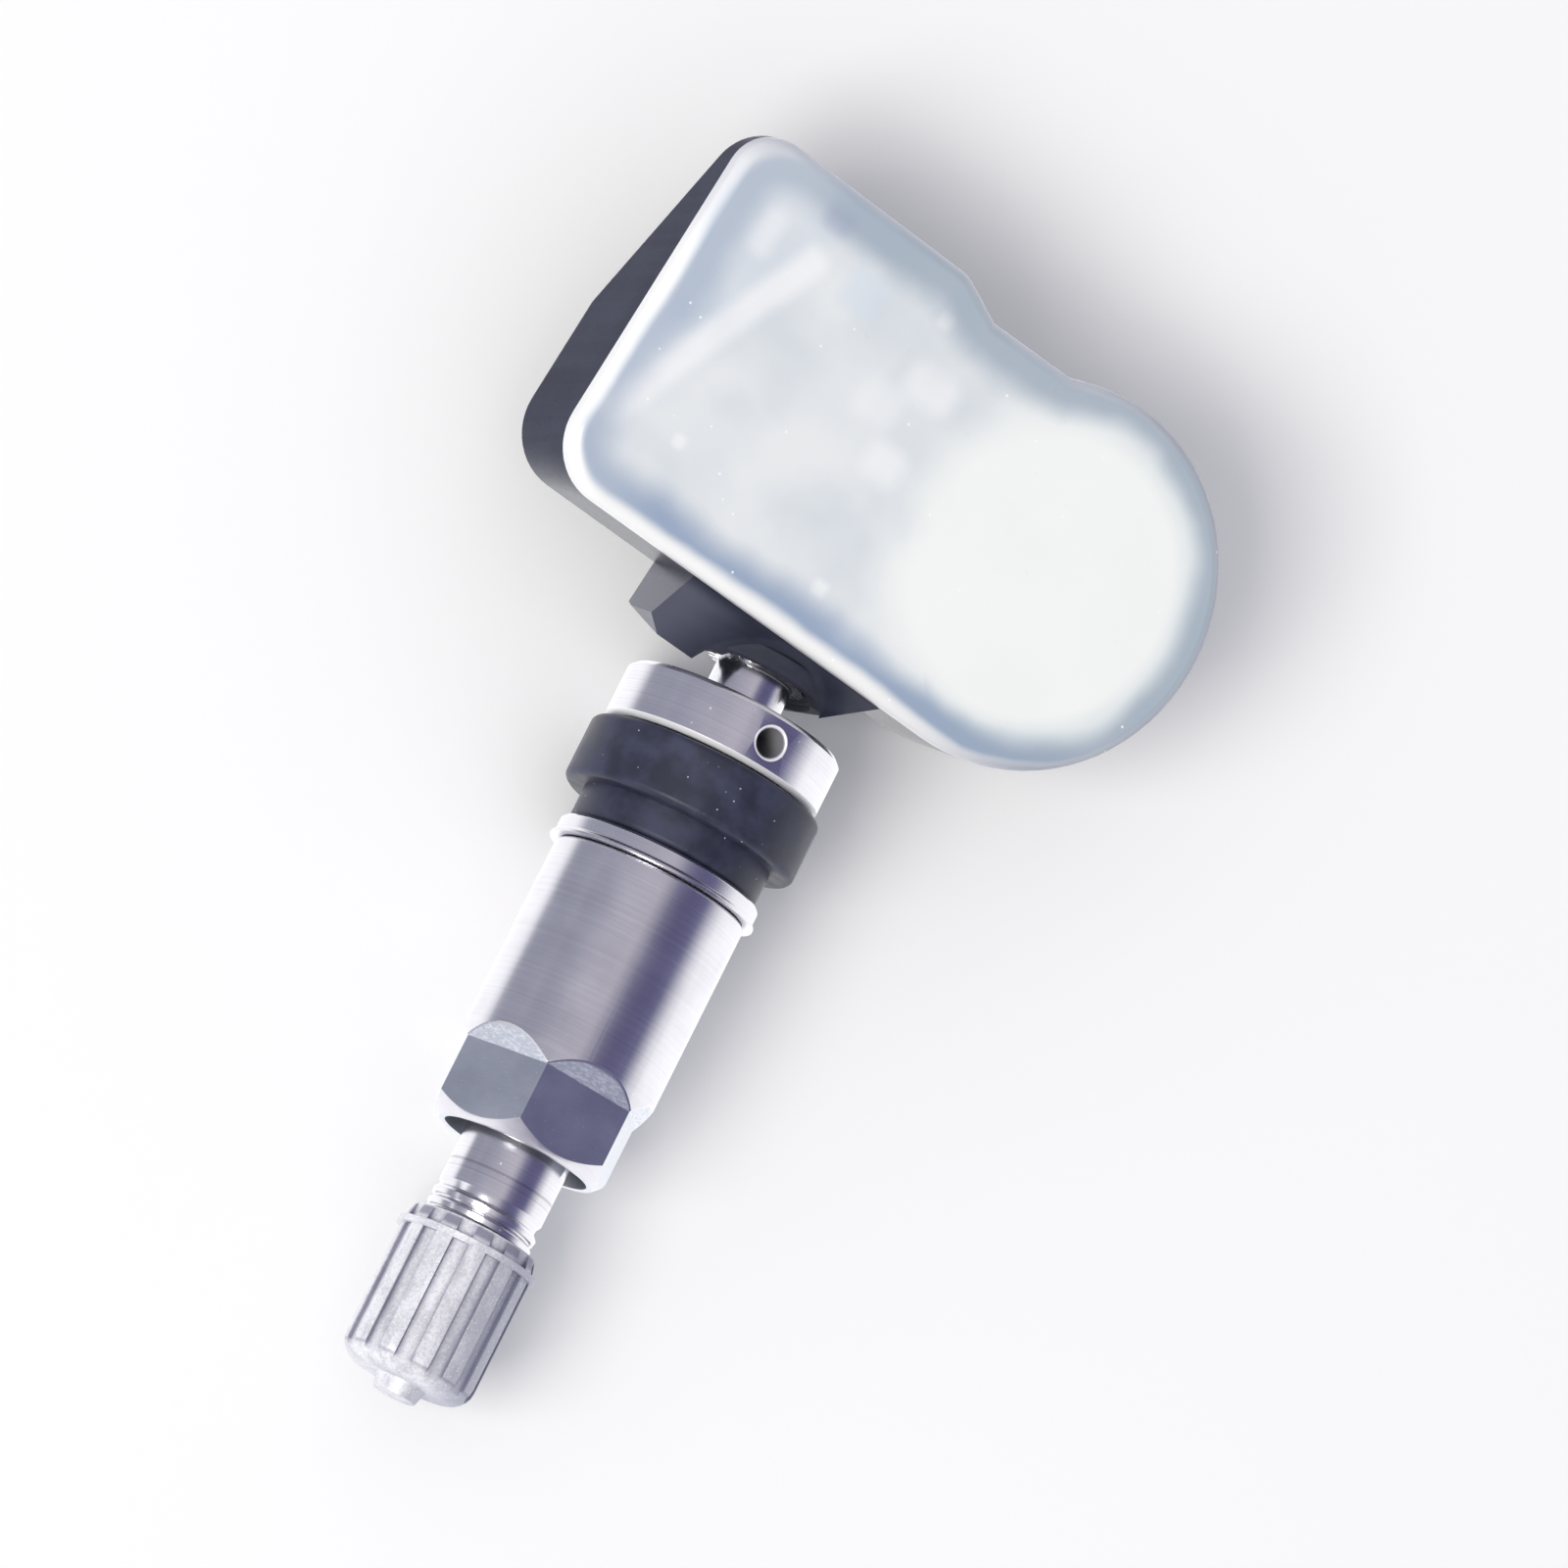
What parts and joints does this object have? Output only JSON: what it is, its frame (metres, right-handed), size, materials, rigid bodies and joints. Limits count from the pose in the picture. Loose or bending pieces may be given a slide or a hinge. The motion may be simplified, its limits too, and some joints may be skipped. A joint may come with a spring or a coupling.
{
  "type": "tyre pressure sensor",
  "caption": "Wheel-mounted pressure sensor: a clamp-in metal valve with grommet, sleeve nut and ribbed cap, and a sealed housing with battery and board that tilts on a ball seat.",
  "frame": {"origin": "on the valve's axis, in the plane of the grommet's shoulder that seats on the inside of the rim", "axes": "-Y along the valve towards its cap, +Z towards the housing's translucent face, +X towards the housing's round battery end"},
  "size_m": [0.0472, 0.0842, 0.0195],
  "materials": {
    "turned_aluminium": "satin, turned",
    "grommet_rubber": "matt moulded rubber",
    "seal_rubber": "matt",
    "core_brass": "turned",
    "core_seal_white": "smooth",
    "spring_steel": "drawn wire",
    "screw_steel": "zinc plated",
    "cap_silver": "silver grey, fine grained",
    "tray_plastic": "moulded, fine grain",
    "milky_cover": "translucent, satin",
    "board_green": "solder mask",
    "cell_steel": "pressed steel",
    "tab_nickel": "nickel plated",
    "chip_black": "moulded",
    "filter_white": "porous membrane",
    "chip_pale": "ceramic lid",
    "coil_white": "moulded ferrite",
    "ceramic_tan": "ceramic"
  },
  "bodies": {
    "valve": {"valve_stem": "turned_aluminium", "grommet": "grommet_rubber", "core_body": "core_brass", "core_seal": "core_seal_white", "core_spring": "spring_steel", "fixing_screw": "screw_steel", "seat_washer": "screw_steel"},
    "housing": {"housing_tray": "tray_plastic", "cover": "milky_cover", "circuit_board": "board_green", "coin_cell": "cell_steel", "cell_tab_top": "tab_nickel", "cell_tab_bottom": "tab_nickel", "pressure_chip": "chip_black", "port_seal": "seal_rubber", "port_filter": "filter_white", "controller_chip": "chip_pale", "wake_coil": "coil_white", "crystal": "tab_nickel", "capacitors": "ceramic_tan"},
    "nut_washer": {"nut_washer": "turned_aluminium"},
    "nut": {"hex_nut": "turned_aluminium"},
    "cap_disc": {"cap_seal": "seal_rubber"},
    "cap": {"valve_cap": "cap_silver"},
    "pin": {"core_pin": "core_brass"}
  },
  "joints": [
    {"name": "housing_tilt", "type": "hinge", "parent": "valve", "child": "housing", "pos_m": [0, 0.00821, 0], "axis": [1, 0, 0], "range_deg": [-5, 8]},
    {"name": "washer_slide", "type": "slide", "parent": "valve", "child": "nut_washer", "axis": [0, -1, 0], "range_m": [0, 0.0055]},
    {"name": "nut_turn", "type": "hinge", "parent": "nut_washer", "child": "nut", "pos_m": [0, -0.012, 0], "axis": [0, -1, 0], "range_deg": [0, 1979]},
    {"name": "cap_slide", "type": "slide", "parent": "valve", "child": "cap_disc", "axis": [0, -1, 0], "range_m": [0, 0.0087]},
    {"name": "cap_turn", "type": "hinge", "parent": "cap_disc", "child": "cap", "pos_m": [0, -0.036, 0], "axis": [0, -1, 0], "range_deg": [0, 3945]},
    {"name": "pin_push", "type": "slide", "parent": "valve", "child": "pin", "axis": [0, 1, 0], "range_m": [0, 0.0012], "stiffness_N_per_m": 800, "springref_m": -0.001, "deforming": ["core_spring"]}
  ],
  "couplings": [
    {"joint": "washer_slide", "follows": "nut_turn", "m_per_rad": 0.00015915},
    {"joint": "cap_turn", "follows": "cap_slide", "rad_per_m": 7913.3}
  ]
}
